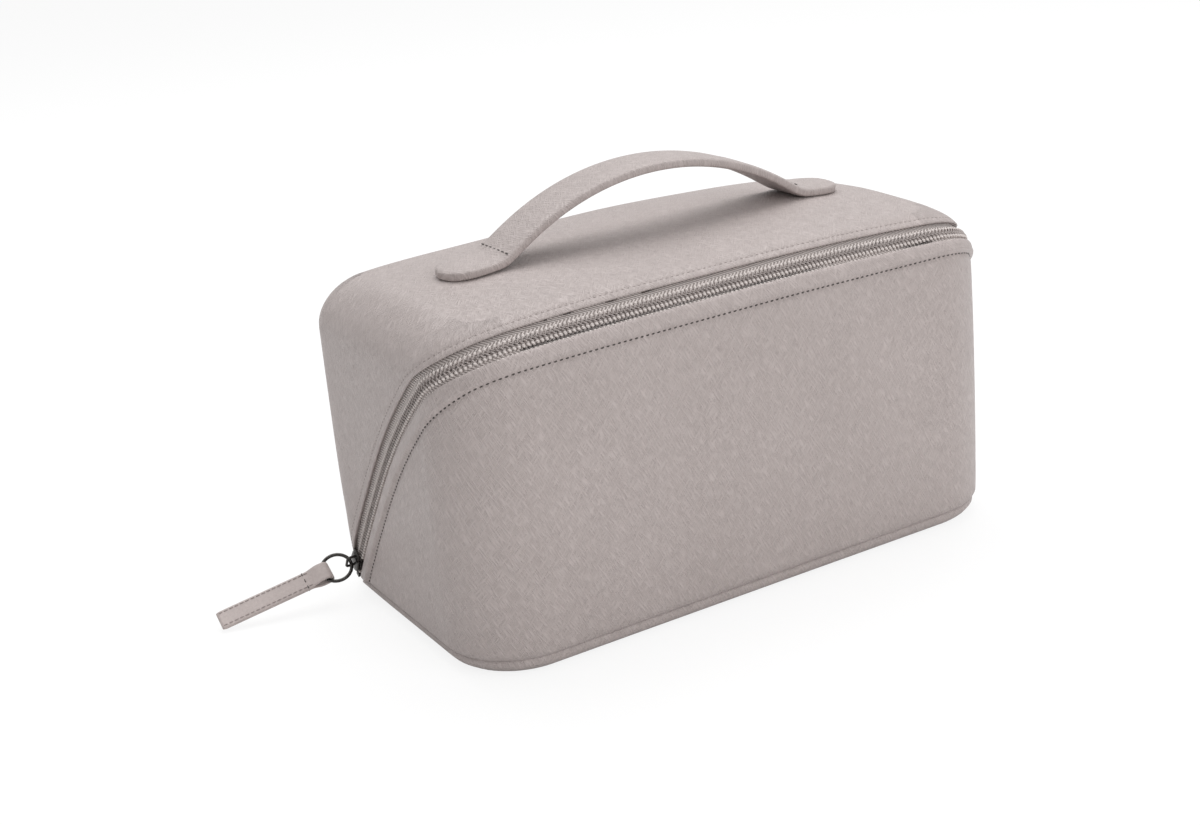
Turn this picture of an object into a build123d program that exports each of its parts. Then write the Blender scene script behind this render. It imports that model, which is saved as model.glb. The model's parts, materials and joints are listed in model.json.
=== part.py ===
"""A cosmetic bag: a soft loaf-shaped case that a zip splits into a base and a lid.

Millimetres. +X runs from the slider's end to the other end, +Y from front to back, +Z up.
The origin is the middle of the bottom. The base carries the front, the bottom and the lower
part of both ends. The lid carries the top, the back and the rest of the ends, and swings on
a leather fold along the lower back edge. Seen from an end, the zip follows one large arc.
"""

import math
import os
from functools import cache

from build123d import *

os.makedirs("parts", exist_ok=True)

# Outer form of the closed bag
length = 280.0
depth = 150.0
height = 150.0
crown = 6.0
front_corner = 34.0
back_corner = 20.0
top_round = 20.0
bottom_round = 10.0

# Wall layers, from the outside in
skin = 1.4
foam = 3.0
lining = 0.6
board = 1.2
board_margin = 3.0
seam_height = 7.0

# Zip line, as distances from the back, floor, front and top of the bag
zip_foot_from_back = 20.0
zip_foot_height = 13.0
zip_crest_from_front = 5.0
zip_crest_below_top = 3.0
zip_bow = 8.5
zip_opening = 15.0

# Zip pieces
tape = 0.6
tape_under_edge = 6.5
coil_half_gap = 0.6
coil_width = 2.0
coil_proud = 0.1
tape_half_gap = 0.9
stop_length = 1.8
stop_width = 2.4
stop_height = 1.0
tape_tail = 1.0
fold_height = 6.0
end_tab = 1.0
end_tab_height = 3.2

# Edge finish
lip_band_width = 9.1
lip_band_rise = 0.8
stitch_width = 0.6
stitch_rise = 0.3
front_stitch_inset = 9.8
lid_stitch_inset = 3.2
lid_stitch_foot = 16.0

# Handle
handle_span = 208.0
handle_width = 27.0
handle_thickness = 4.0
handle_leather = 1.2
handle_rise = 28.5
handle_foot_span = 151.0
handle_bend = 10.0
handle_stitch_span = 150.0
handle_stitch_margin = 2.5
backing = 1.0
backing_length = 30.0
backing_width = 32.0

# Slider
slider_rest = 5.0
slider_length = 12.0
slider_half_width = 4.2
slider_plate = 1.2
slider_post_length = 3.0
slider_post_width = 0.6
slider_corner = 2.4

# Bail, ring and pull strap
bail_span = 6.4
bail_wire = 1.2
ring_slack = 1.2
ring_radius = 7.0
ring_wire = 1.6
strap_length = 58.0
strap_width = 9.0
strap_leather = 1.1
strap_core = 0.3
strap_neck = 6.0
strap_stitch_from_ring = 11.5
strap_end_round = 1.5

# Clearances
moving_gap = 0.3
loop_swing_room = 0.7
zip_gap = 0.3
plate_gap = 0.5
stop_gap = 2.2
floor_gap = 0.3
hinge_lift = 0.5
corner_clearance = 6.0

# Derived levels and radii
half_length = length / 2
half_depth = depth / 2
wall = skin + foam + lining
reach = 2 * length

foot_y = half_depth - zip_foot_from_back
crest_y = -half_depth + zip_crest_from_front
crest_z = height - zip_crest_below_top
chord = math.hypot(foot_y - crest_y, crest_z - zip_foot_height)
zip_radius = (chord**2 / 4 + zip_bow**2) / (2 * zip_bow)
bow_y = (crest_z - zip_foot_height) / chord
bow_z = (foot_y - crest_y) / chord
zip_centre_y = (foot_y + crest_y) / 2 - (zip_radius - zip_bow) * bow_y
zip_centre_z = (zip_foot_height + crest_z) / 2 - (zip_radius - zip_bow) * bow_z
lid_radius = zip_radius + zip_opening / 2
lip_radius = zip_radius - zip_opening / 2
foot_angle = math.degrees(math.atan2(zip_foot_height - zip_centre_z, foot_y - zip_centre_y))


def along_zip(distance):
    """Angle, in degrees, of the point this far up the zip from its foot."""
    return foot_angle + math.degrees(distance / zip_radius)


def zip_point(distance, radius=zip_radius):
    """Y and Z of the point this far up the zip."""
    angle = math.radians(along_zip(distance))
    return zip_centre_y + radius * math.cos(angle), zip_centre_z + radius * math.sin(angle)


@cache
def loaf(inset):
    """The bag's outer form with every face moved inwards by inset."""
    half = half_depth - inset
    crown_radius = (half_depth**2 + crown**2) / (2 * crown)
    crown_centre = height + crown - crown_radius
    eaves = crown_centre + math.sqrt((crown_radius - inset) ** 2 - half**2)
    with BuildPart() as form:
        with BuildSketch(Plane.YZ.offset(-half_length + inset)):
            with BuildLine():
                Polyline((-half, eaves), (-half, inset), (half, inset), (half, eaves))
                ThreePointArc((half, eaves), (0, height + crown - inset), (-half, eaves))
            make_face()
        extrude(amount=length - 2 * inset)
        fillet(form.edges().filter_by(Axis.Z).sort_by(Axis.Y)[:2], front_corner - inset)
        fillet(form.edges().filter_by(Axis.Z).sort_by(Axis.Y)[-2:], back_corner - inset)
        fillet(form.faces().sort_by(Axis.Z)[-1].edges(), top_round - inset)
        fillet(form.faces().sort_by(Axis.Z)[0].edges(), bottom_round - inset)
    return form.part


@cache
def drum(radius):
    """A cylinder along X about the zip's centre."""
    with BuildPart() as form:
        with BuildSketch(Plane.YZ.offset(-reach / 2)):
            with Locations((zip_centre_y, zip_centre_z)):
                Circle(radius)
        extrude(amount=reach)
    return form.part


@cache
def shell(outer, inner):
    """The layer of the wall between two insets."""
    with BuildPart() as form:
        add(loaf(outer))
        add(loaf(inner), mode=Mode.SUBTRACT)
    return form.part


@cache
def band(outer, inner, low, high):
    """A strip of the wall layer between two radii about the zip's centre."""
    with BuildPart() as form:
        add(shell(outer, inner))
        add(drum(high), mode=Mode.INTERSECT)
        add(drum(low), mode=Mode.SUBTRACT)
    return form.part


def keep_above(level):
    """Keep what lies above a level, in the part being built."""
    split(bisect_by=Plane.XY.offset(level), keep=Keep.TOP)


def keep_below(level):
    """Keep what lies below a level, in the part being built."""
    split(bisect_by=Plane.XY.offset(level), keep=Keep.BOTTOM)


def keep_up_zip(distance):
    """Keep what lies further up the zip than this, in the part being built."""
    angle = math.radians(along_zip(distance))
    origin = (0, zip_centre_y, zip_centre_z)
    across = Plane(origin=origin, x_dir=(1, 0, 0), z_dir=(0, -math.sin(angle), math.cos(angle)))
    split(bisect_by=across, keep=Keep.TOP)


# Slider's place: its plane lies on the end wall, x up the zip, y towards the lid, z outwards
slider_low = slider_rest - slider_length / 2
stop_low = slider_low - stop_gap - stop_length
tape_low = stop_low - tape_tail
slider_y, slider_z = zip_point(slider_rest)
slider_angle = math.radians(along_zip(slider_rest))
up_zip = Vector(0, -math.sin(slider_angle), math.cos(slider_angle))
to_lid = Vector(0, math.cos(slider_angle), math.sin(slider_angle))
outwards = Vector(-1, 0, 0)
slider_plane = Plane(origin=(-half_length, slider_y, slider_z), x_dir=up_zip, z_dir=outwards)

tape_face = -skin
plate_face = -coil_proud + zip_gap
inner_plate_face = -skin - tape - plate_gap
plate_top = plate_face + slider_plate

# Ring and strap hang from the bail, low enough for the strap's tip to lie on the floor
ring_seat = plate_top + ring_wire / 2 + ring_slack
ring_seat_point = slider_plane.from_local_coords(Vector(0, 0, ring_seat))
strap_half = strap_leather + strap_core / 2
tip_drop = (
    ring_seat_point.Z
    - floor_gap
    - to_lid.Z * strap_width / 2
    - up_zip.Z * strap_half
)
rest_droop = math.asin(tip_drop / (up_zip.Z * (ring_radius + strap_length)))
pull_out = outwards * math.cos(rest_droop) - up_zip * math.sin(rest_droop)
ring_centre = ring_seat_point + pull_out * ring_radius
ring_plane = Plane(origin=ring_centre, x_dir=pull_out, z_dir=pull_out.cross(to_lid))
strap_plane = Plane(origin=ring_centre, x_dir=pull_out, z_dir=to_lid)

# Base: outer leather
with BuildPart() as front_panel:
    add(shell(0, skin))
    add(drum(lip_radius), mode=Mode.INTERSECT)
    keep_above(seam_height)
front_panel.part.label = "front_panel"

with BuildPart() as bottom_panel:
    add(shell(0, skin))
    add(drum(lip_radius), mode=Mode.INTERSECT)
    keep_below(seam_height)
bottom_panel.part.label = "bottom_panel"

with BuildPart() as hinge_fold:
    add(band(0, skin, lip_radius, lid_radius - moving_gap))
    keep_below(fold_height)
hinge_fold.part.label = "hinge_fold"

with BuildPart() as lip_band:
    add(band(-lip_band_rise, 0, lip_radius - lip_band_width, lip_radius))
    keep_above(seam_height)
lip_band.part.label = "lip_band"

stitch_line = lip_radius - front_stitch_inset
with BuildPart() as front_stitching:
    add(band(-stitch_rise, 0, stitch_line - stitch_width, stitch_line))
    keep_above(seam_height)
front_stitching.part.label = "front_stitching"

# Base: zip half
with BuildPart() as base_zip_tape:
    add(band(skin, skin + tape, lip_radius - tape_under_edge, zip_radius - tape_half_gap))
    keep_up_zip(tape_low)
base_zip_tape.part.label = "base_zip_tape"

coil_low = zip_radius - coil_half_gap - coil_width
with BuildPart() as base_coil:
    add(band(coil_proud, skin, coil_low, zip_radius - coil_half_gap))
    keep_up_zip(slider_rest)
base_coil.part.label = "base_coil"
stop_from_line = tape_half_gap + stop_width / 2


def zip_stop(side, end):
    """A metal stop clamped on one tape, below the slider's end of the travel."""
    stop_y, stop_z = zip_point(stop_low + stop_length / 2, zip_radius + side * stop_from_line)
    seat = Plane(origin=(end * (half_length - skin), stop_y, stop_z), x_dir=up_zip, z_dir=(end, 0, 0))
    with BuildPart() as form:
        with BuildSketch(seat):
            Rectangle(stop_length, stop_width)
        extrude(amount=stop_height)
    return form.part


# Base: lining, board and padding inside the leather
with BuildPart() as base_board:
    add(shell(skin + foam - board, skin + foam))
    add(drum(lip_radius - board_margin), mode=Mode.INTERSECT)
    with BuildSketch(Plane.XY):
        board_edge = bottom_round + board_margin
        board_front = -half_depth + board_edge
        with Locations((0, (board_front + foot_y) / 2)):
            Rectangle(length - 2 * board_edge, foot_y - board_front)
    extrude(amount=wall, mode=Mode.INTERSECT)
base_board.part.label = "base_board"

with BuildPart() as base_foam:
    add(shell(skin, skin + foam))
    add(drum(lip_radius), mode=Mode.INTERSECT)
    add(base_zip_tape.part, mode=Mode.SUBTRACT)
    add(base_board.part, mode=Mode.SUBTRACT)
base_foam.part.label = "base_foam"

with BuildPart() as base_lining:
    add(shell(skin + foam, wall))
    add(drum(lip_radius), mode=Mode.INTERSECT)
base_lining.part.label = "base_lining"

# Lid: outer leather and zip half
with BuildPart() as lid_skin:
    add(shell(0, skin))
    add(drum(lid_radius), mode=Mode.SUBTRACT)
lid_skin.part.label = "lid_skin"

lid_stitch_line = lid_radius + lid_stitch_inset
with BuildPart() as lid_stitching:
    add(band(-stitch_rise, 0, lid_stitch_line, lid_stitch_line + stitch_width))
    keep_above(lid_stitch_foot)
lid_stitching.part.label = "lid_stitching"

with BuildPart() as lid_zip_tape:
    add(band(skin, skin + tape, zip_radius + tape_half_gap, lid_radius + tape_under_edge))
    keep_up_zip(tape_low)
lid_zip_tape.part.label = "lid_zip_tape"

with BuildPart() as lid_coil:
    add(band(coil_proud, skin, zip_radius + coil_half_gap, zip_radius + coil_half_gap + coil_width))
    keep_up_zip(slider_rest)
lid_coil.part.label = "lid_coil"

# Lid: patches under the handle's ends, padding and lining
backing_x = (handle_span - backing_length) / 2
with BuildPart() as handle_backing:
    add(shell(skin, skin + backing))
    with BuildSketch(Plane.XY.offset(height / 2)):
        with Locations((-backing_x, 0), (backing_x, 0)):
            Rectangle(backing_length, backing_width)
    extrude(amount=height, mode=Mode.INTERSECT)
handle_backing.part.label = "handle_backing"

with BuildPart() as lid_foam:
    add(shell(skin, skin + foam))
    add(drum(lid_radius), mode=Mode.SUBTRACT)
    add(lid_zip_tape.part, mode=Mode.SUBTRACT)
    add(handle_backing.part, mode=Mode.SUBTRACT)
lid_foam.part.label = "lid_foam"

with BuildPart() as lid_lining:
    add(shell(skin + foam, wall))
    add(drum(lid_radius), mode=Mode.SUBTRACT)
lid_lining.part.label = "lid_lining"

# Zip stops: one on each tape below the slider, and one across both at the other end
with BuildPart() as base_zip_stops:
    add(zip_stop(-1, -1))
    add(zip_stop(-1, 1))
base_zip_stops.part.label = "base_zip_stops"

with BuildPart() as lid_zip_stop:
    add(zip_stop(1, -1))
lid_zip_stop.part.label = "lid_zip_stop"

# Fabric tabs that close the zip's two feet, inside the tape
with BuildPart() as zip_end_tabs:
    add(band(skin + tape, skin + tape + end_tab, lip_radius, lid_radius - moving_gap))
    keep_below(fold_height + end_tab_height)
    keep_above(fold_height)
    with BuildSketch(Plane.YZ.offset(-half_length + back_corner)):
        Rectangle(reach, reach)
    extrude(amount=length - 2 * back_corner, mode=Mode.SUBTRACT)
zip_end_tabs.part.label = "zip_end_tabs"

# Handle: a padded strap whose flat ends are sewn to the top
handle_top = height + crown
arch_half = handle_foot_span / 2
arch_radius = (arch_half**2 + handle_rise**2) / (2 * handle_rise)
arch_centre = handle_top + handle_rise - arch_radius


@cache
def handle_form(inset):
    """The strap, seen from the front as an arch on two flat tabs, with faces moved in."""
    top = handle_top + handle_thickness - inset
    under = handle_top + inset
    outer = arch_radius + handle_thickness - inset
    inner = arch_radius + inset
    bend = handle_bend + inset
    end_x = handle_span / 2 - inset
    inner_x = math.sqrt(inner**2 - (under - arch_centre) ** 2)
    bend_x = math.sqrt((outer + bend) ** 2 - (top + bend - arch_centre) ** 2)
    share = outer / (outer + bend)
    meeting = (bend_x * share, arch_centre + (top + bend - arch_centre) * share)
    with BuildPart() as form:
        with BuildSketch(Plane.XZ):
            with BuildLine():
                Line((0, arch_centre + inner), (0, arch_centre + outer))
                TangentArc((0, arch_centre + outer), meeting, tangent=(1, 0))
                TangentArc((bend_x, top), meeting, tangent=(-1, 0))
                Polyline((bend_x, top), (end_x, top), (end_x, under), (inner_x, under))
                TangentArc((0, arch_centre + inner), (inner_x, under), tangent=(1, 0))
            make_face()
            mirror(about=Plane.YZ)
        extrude(amount=handle_width / 2 - inset, both=True)
        with BuildSketch(Plane.XY.offset(height)):
            SlotOverall(handle_span - 2 * inset, handle_width - 2 * inset)
        extrude(amount=height, mode=Mode.INTERSECT)
    return form.part


with BuildPart() as handle_core:
    add(handle_form(handle_leather))
handle_core.part.label = "handle_core"

with BuildPart() as handle_strap:
    add(handle_form(0))
    add(loaf(0), mode=Mode.SUBTRACT)
    add(handle_core.part, mode=Mode.SUBTRACT)
handle_strap.part.label = "handle_strap"

with BuildPart() as handle_stitching:
    add(handle_form(-stitch_rise))
    add(handle_form(0), mode=Mode.SUBTRACT)
    add(loaf(-handle_thickness / 2), mode=Mode.SUBTRACT)
    with BuildSketch(Plane.XY.offset(height)):
        with Locations((-handle_stitch_span / 2, 0), (handle_stitch_span / 2, 0)):
            Rectangle(stitch_width, handle_width - 2 * handle_stitch_margin)
    extrude(amount=height, mode=Mode.INTERSECT)
handle_stitching.part.label = "handle_stitching"

# Slider: two plates round the coils, joined by the post between the tapes
with BuildPart() as slider_body:
    with BuildSketch(slider_plane.offset(plate_face)):
        RectangleRounded(slider_length, 2 * slider_half_width, slider_corner)
    extrude(amount=slider_plate)
    flange_inside = coil_half_gap + coil_width + zip_gap
    flange_width = slider_half_width - flange_inside
    with BuildSketch(slider_plane.offset(plate_face)):
        with Locations((0, flange_inside + flange_width / 2), (0, -flange_inside - flange_width / 2)):
            Rectangle(slider_length - 2 * slider_corner, flange_width)
    extrude(amount=-(plate_face - tape_face - zip_gap))
    with BuildSketch(slider_plane.offset(inner_plate_face)):
        RectangleRounded(slider_length, 2 * slider_half_width, slider_corner)
    extrude(amount=-slider_plate)
    with BuildSketch(slider_plane.offset(inner_plate_face)):
        with Locations((-slider_length / 2 + slider_post_length / 2, 0)):
            Rectangle(slider_post_length, slider_post_width)
    extrude(amount=plate_face - inner_plate_face)
slider_body.part.label = "slider_body"

# Bail: the wire arch on the slider that the ring hangs from
bail_height = ring_seat + ring_wire / 2 + moving_gap + bail_wire / 2
with BuildPart() as slider_bail:
    bail_plane = Plane(origin=slider_plane.origin, x_dir=up_zip, z_dir=up_zip.cross(outwards))
    with BuildLine(bail_plane) as bail_path:
        FilletPolyline(
            (-bail_span / 2, plate_top),
            (-bail_span / 2, bail_height),
            (bail_span / 2, bail_height),
            (bail_span / 2, plate_top),
            radius=bail_wire,
        )
    with BuildSketch(slider_plane.offset(plate_top)):
        with Locations((-bail_span / 2, 0)):
            Circle(bail_wire / 2)
    sweep()
slider_bail.part.label = "slider_bail"

with BuildPart(ring_plane) as pull_ring:
    Torus(ring_radius, ring_wire / 2)
pull_ring.part.label = "pull_ring"

# Pull strap: leather folded round the ring's far side, with a core between its two layers
loop_gap = ring_wire / 2 + moving_gap + loop_swing_room
loop_outer = loop_gap + strap_leather
ring_inside = ring_radius - ring_wire / 2
bight = math.sqrt(ring_inside**2 - (strap_width / 2) ** 2) - moving_gap
loop_centre = bight + loop_gap
loop_end = ring_radius + ring_wire / 2 + moving_gap
neck_end = loop_end + strap_neck


with BuildPart() as pull_core:
    with BuildSketch(strap_plane):
        with Locations((neck_end + strap_end_round, 0)):
            core_length = strap_length - neck_end - 2 * strap_end_round
            Rectangle(core_length, strap_core, align=(Align.MIN, Align.CENTER))
    extrude(amount=strap_width / 2 - strap_end_round, both=True)
pull_core.part.label = "pull_core"

with BuildPart() as pull_strap:
    with BuildSketch(strap_plane):
        with BuildLine():
            Polyline((loop_centre, loop_outer), (loop_end, loop_outer), (neck_end, strap_half))
            Polyline((neck_end, strap_half), (strap_length, strap_half), (strap_length, -strap_half))
            Polyline((strap_length, -strap_half), (neck_end, -strap_half), (loop_end, -loop_outer))
            Line((loop_end, -loop_outer), (loop_centre, -loop_outer))
            ThreePointArc((loop_centre, -loop_outer), (bight - strap_leather, 0), (loop_centre, loop_outer))
        make_face()
        with BuildLine():
            Line((loop_centre, loop_gap), (loop_end, loop_gap))
            Line((loop_end, loop_gap), (neck_end, 0))
            Line((neck_end, 0), (loop_end, -loop_gap))
            Line((loop_end, -loop_gap), (loop_centre, -loop_gap))
            ThreePointArc((loop_centre, -loop_gap), (bight, 0), (loop_centre, loop_gap))
        make_face(mode=Mode.SUBTRACT)
    extrude(amount=strap_width / 2, both=True)
    through = Axis(ring_centre, ring_plane.z_dir)
    fillet(pull_strap.edges().filter_by(through).sort_by(Axis(ring_centre, pull_out))[-2:], strap_end_round)
    add(pull_core.part, mode=Mode.SUBTRACT)
pull_strap.part.label = "pull_strap"

with BuildPart() as pull_stitching:
    stitch_seat = Plane(origin=ring_centre, x_dir=pull_out, z_dir=ring_plane.z_dir)
    for side in (-1, 1):
        with BuildSketch(stitch_seat.offset(side * strap_half)):
            with Locations((neck_end + strap_stitch_from_ring / 2, 0)):
                Rectangle(stitch_width, strap_width - 2 * handle_stitch_margin)
        extrude(amount=side * stitch_rise)
pull_stitching.part.label = "pull_stitching"

pieces = (
    front_panel,
    bottom_panel,
    hinge_fold,
    lip_band,
    front_stitching,
    base_zip_tape,
    base_coil,
    base_zip_stops,
    zip_end_tabs,
    base_board,
    base_foam,
    base_lining,
    lid_skin,
    lid_stitching,
    lid_zip_tape,
    lid_coil,
    lid_zip_stop,
    handle_backing,
    lid_foam,
    lid_lining,
    handle_strap,
    handle_core,
    handle_stitching,
    slider_body,
    slider_bail,
    pull_ring,
    pull_strap,
    pull_core,
    pull_stitching,
)
for piece in pieces:
    export_step(piece.part, f"parts/{piece.part.label}.step")

# Joint places that the record repeats
print("zip centre y, z:", round(zip_centre_y, 3), round(zip_centre_z, 3), "radius", round(zip_radius, 3))
print("lid hinge y, z:", half_depth, hinge_lift)
travel_end_y = -half_depth + front_corner + corner_clearance + slider_length / 2
travel_angle = math.degrees(math.acos((travel_end_y - zip_centre_y) / zip_radius)) - along_zip(slider_rest)
print("slider travel, degrees:", round(travel_angle, 3))
print("ring seat:", ring_seat_point, "axis:", to_lid)
strap_pivot = ring_centre + pull_out * ring_radius
print("strap pivot:", strap_pivot)
print("rest droop, degrees:", round(math.degrees(rest_droop), 3))
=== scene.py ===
import json
import math

import bmesh
import bpy
import numpy as np
from mathutils import Matrix, Vector


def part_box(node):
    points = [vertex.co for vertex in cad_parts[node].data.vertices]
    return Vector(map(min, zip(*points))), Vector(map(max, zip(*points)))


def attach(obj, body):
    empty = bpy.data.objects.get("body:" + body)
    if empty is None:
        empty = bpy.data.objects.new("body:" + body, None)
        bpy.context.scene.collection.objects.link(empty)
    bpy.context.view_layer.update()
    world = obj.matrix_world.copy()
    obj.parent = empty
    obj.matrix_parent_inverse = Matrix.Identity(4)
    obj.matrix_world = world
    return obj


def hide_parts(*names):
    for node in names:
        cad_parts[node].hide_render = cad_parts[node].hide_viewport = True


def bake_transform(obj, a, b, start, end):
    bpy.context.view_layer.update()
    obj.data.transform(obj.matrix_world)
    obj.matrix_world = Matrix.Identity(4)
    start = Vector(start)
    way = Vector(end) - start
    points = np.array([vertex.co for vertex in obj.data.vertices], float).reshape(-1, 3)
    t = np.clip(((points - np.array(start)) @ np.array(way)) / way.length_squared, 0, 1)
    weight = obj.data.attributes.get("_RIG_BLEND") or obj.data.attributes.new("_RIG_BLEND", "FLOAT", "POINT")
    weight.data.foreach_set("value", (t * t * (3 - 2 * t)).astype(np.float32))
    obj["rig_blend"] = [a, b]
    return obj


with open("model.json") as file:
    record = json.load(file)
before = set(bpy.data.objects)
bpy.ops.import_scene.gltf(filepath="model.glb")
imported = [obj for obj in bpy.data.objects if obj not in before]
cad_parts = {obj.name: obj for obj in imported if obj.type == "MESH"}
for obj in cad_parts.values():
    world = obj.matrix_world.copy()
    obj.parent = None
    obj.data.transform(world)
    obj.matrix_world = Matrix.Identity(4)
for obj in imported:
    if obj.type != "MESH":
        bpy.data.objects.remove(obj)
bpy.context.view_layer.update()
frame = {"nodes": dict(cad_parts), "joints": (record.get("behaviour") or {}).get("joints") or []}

mm = 0.001

# Outer form of the closed bag, as the frame has it
lid_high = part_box("lid_skin")[1]
half_length = lid_high.x
half_depth = lid_high.y
floor_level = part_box("bottom_panel")[0].z
eaves_height = 150 * mm
crown = 6.0 * mm
front_corner = 34 * mm
back_corner = 24 * mm
top_round = 21 * mm
bottom_round = 10 * mm
seam_height = 7 * mm


def joint_named(name):
    return next(j for j in frame["joints"] if j["name"] == name)


# Zip line: its arc turns about the slider's joint
zip_centre = Vector(joint_named("slider_travel")["pos_m"])
zip_radius = 498.09 * mm
zip_opening = 12.6 * mm
lip_radius = zip_radius - zip_opening / 2
lid_radius = zip_radius + zip_opening / 2
zip_foot = 11 * mm

# Fold: how far it runs on under the base and the lid, how deep it lies, and where it bends
fold_lap = 4 * mm
fold_sink = 0.9 * mm
fold_thickness = 2.2 * mm
fold_bend_start = 20 * mm
fold_bend_end = 6 * mm

# How far the soft form settles
end_bulge = 3.0 * mm
corner_bulge = 0.8 * mm
top_fall = 4.2 * mm
back_fall = 3.0 * mm
back_corner_slack = 4.5 * mm
slack_start = 40 * mm
slack_run = 80 * mm
fall_start = 128 * mm
fall_run = 22 * mm
zip_calm = 20 * mm
front_swell = 1.6 * mm
wave_depth = 0.45 * mm
slow_depth = 0.5 * mm

# Edge finish
lip_roll = 1.1 * mm
lid_roll = 0.5 * mm
flange_depth = 4.4 * mm
lip_band_width = 7.0 * mm
lip_puff = 0.9 * mm
stitch_valley = 0.6 * mm
lid_puff = 0.2 * mm
lid_stitch_inset = 2.6 * mm

# Zip
lid_tape_depth = 2.1 * mm
lip_tape_depth = 1.2 * mm
tape_overlap = 5 * mm
coil_pitch = 2.1 * mm
coil_width = 2.3 * mm
coil_height = 1.3 * mm
coil_wire = 0.36 * mm
coil_middle = -0.65 * mm
coil_offset = 1.0 * mm
bead_pitch = 2.1 * mm
bead_size = (1.35 * mm, 1.9 * mm, 1.4 * mm)
bead_rows = {
    "lid_bends": 1.45 * mm,
    "base_bends": -2.75 * mm,
    "base_tape_stitches": -5.3 * mm,
}
tape_stitch_size = (1.3 * mm, 0.95 * mm, 0.9 * mm)
thread_sink = 0.15 * mm
rib_pitch = 1.8 * mm
rib_turn = 2.7 * mm
rib_shift = 98.5 * mm

# Edge stitches: the thread's pitch, which both leather edges share
edge_stitch_pitch = 2.7 * mm

# Handle
handle_half = 104 * mm
handle_half_width = 13.5 * mm
handle_thickness = 4.2 * mm
handle_rise = 26.5 * mm
handle_middle = 2.0 * mm
handle_foot = 75.5 * mm
handle_bend = 3.0 * mm
handle_stitch_x = 75 * mm

# Mesh counts
front_columns = 132
end_columns = 46
corner_columns = 16
side_rings = 58
round_rings = 12
cap_rings = 26


def crown_rise(x, y):
    """How far the top stands above the eaves."""
    return crown * (1 - (y / half_depth) ** 2) * (1 - np.abs(x / half_length) ** 8)


def plan_ring(inset):
    """The bag's outline in plan, moved in, with the same count of points at any inset."""
    across = half_length - inset
    along = half_depth - inset
    least = min(2 * mm, along / 2)
    front = max(front_corner - inset, least)
    back = max(back_corner - inset, least)

    def straight(start, end, count):
        share = np.arange(count)[:, None] / count
        return np.array(start) * (1 - share) + np.array(end) * share

    def corner(centre, radius, first):
        angle = np.radians(first + 90 * np.arange(corner_columns) / corner_columns)
        return np.array(centre) + radius * np.stack([np.cos(angle), np.sin(angle)], 1)

    return np.concatenate([
        straight((-across + front, -along), (across - front, -along), front_columns),
        corner((across - front, -along + front), front, -90),
        straight((across, -along + front), (across, along - back), end_columns),
        corner((across - back, along - back), back, 0),
        straight((across - back, along), (-across + back, along), front_columns),
        corner((-across + back, along - back), back, 90),
        straight((-across, along - back), (-across, -along + front), end_columns),
        corner((-across + front, -along + front), front, 180),
    ])


def profile():
    """Inset and height of each ring, from the middle of the bottom to the middle of the top."""
    steps = []
    for share in np.linspace(1, 0, cap_rings // 2, endpoint=False):
        steps.append((bottom_round + (half_depth - bottom_round) * share, 0.0))
    for angle in np.linspace(0, math.pi / 2, round_rings // 2, endpoint=False):
        steps.append((bottom_round * (1 - math.sin(angle)), bottom_round * (1 - math.cos(angle))))
    for height in np.linspace(bottom_round, eaves_height - top_round, side_rings, endpoint=False):
        steps.append((0.0, height))
    for angle in np.linspace(0, math.pi / 2, round_rings, endpoint=False):
        inset = top_round * (1 - math.cos(angle))
        steps.append((inset, eaves_height - top_round * (1 - math.sin(angle))))
    for share in np.linspace(0, 1, cap_rings):
        steps.append((top_round + (half_depth - top_round) * share, eaves_height))
    return steps


def soft_swell(points):
    """The slow waves that the padded cloth settles into, in metres outwards."""
    x, y, z = points.T
    height = np.clip(z / eaves_height, 0, 1)
    side = np.sin(np.pi * height)
    front = (y < -half_depth * 0.55) * front_swell * side * np.cos(x / half_length * 1.3)
    waves = wave_depth * np.sin(x * 41 + z * 23 + 0.7) * np.sin(y * 37 - x * 17 + 1.9)
    slow = slow_depth * np.sin(x * 19 + y * 31 + 0.4) * np.cos(z * 35 + x * 13)
    return front + (waves + slow) * np.clip(z / (25 * mm), 0, 1)


def settle(points):
    """How the soft bag leaves its drawn form: ends that bulge low down, a top that falls to them,
    and a right back corner that is drawn in."""
    x, y, z = points.T
    sag = np.sin(np.pi * np.clip(z / eaves_height, 0, 1) ** 0.6)
    high = np.clip((z - fall_start) / fall_run, 0, 1)
    right = np.clip(x / half_length, 0, 1)
    left = np.clip(-x / half_length, 0, 1)
    front = np.clip(-y / half_depth, 0, 1)
    back = np.clip(y / half_depth, 0, 1)
    off_zip = np.hypot(y - zip_centre.y, z - zip_centre.z) - zip_radius
    beside_zip = 1 - bump_at(off_zip, zip_calm)
    slack = back_corner_slack * back**4 * np.clip((z - slack_start) / slack_run, 0, 1) * right**6
    moved = np.zeros_like(points)
    moved[:, 0] = end_bulge * sag * (right**6 - 0.5 * left**6 * beside_zip) - slack
    moved[:, 1] = -corner_bulge * sag * front**4 * (right**2 + left**2 * beside_zip) - slack
    moved[:, 2] = -high * (top_fall * (1.4 * right**2.3 + left**3) + back_fall * right**2 * back)
    return moved


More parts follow.
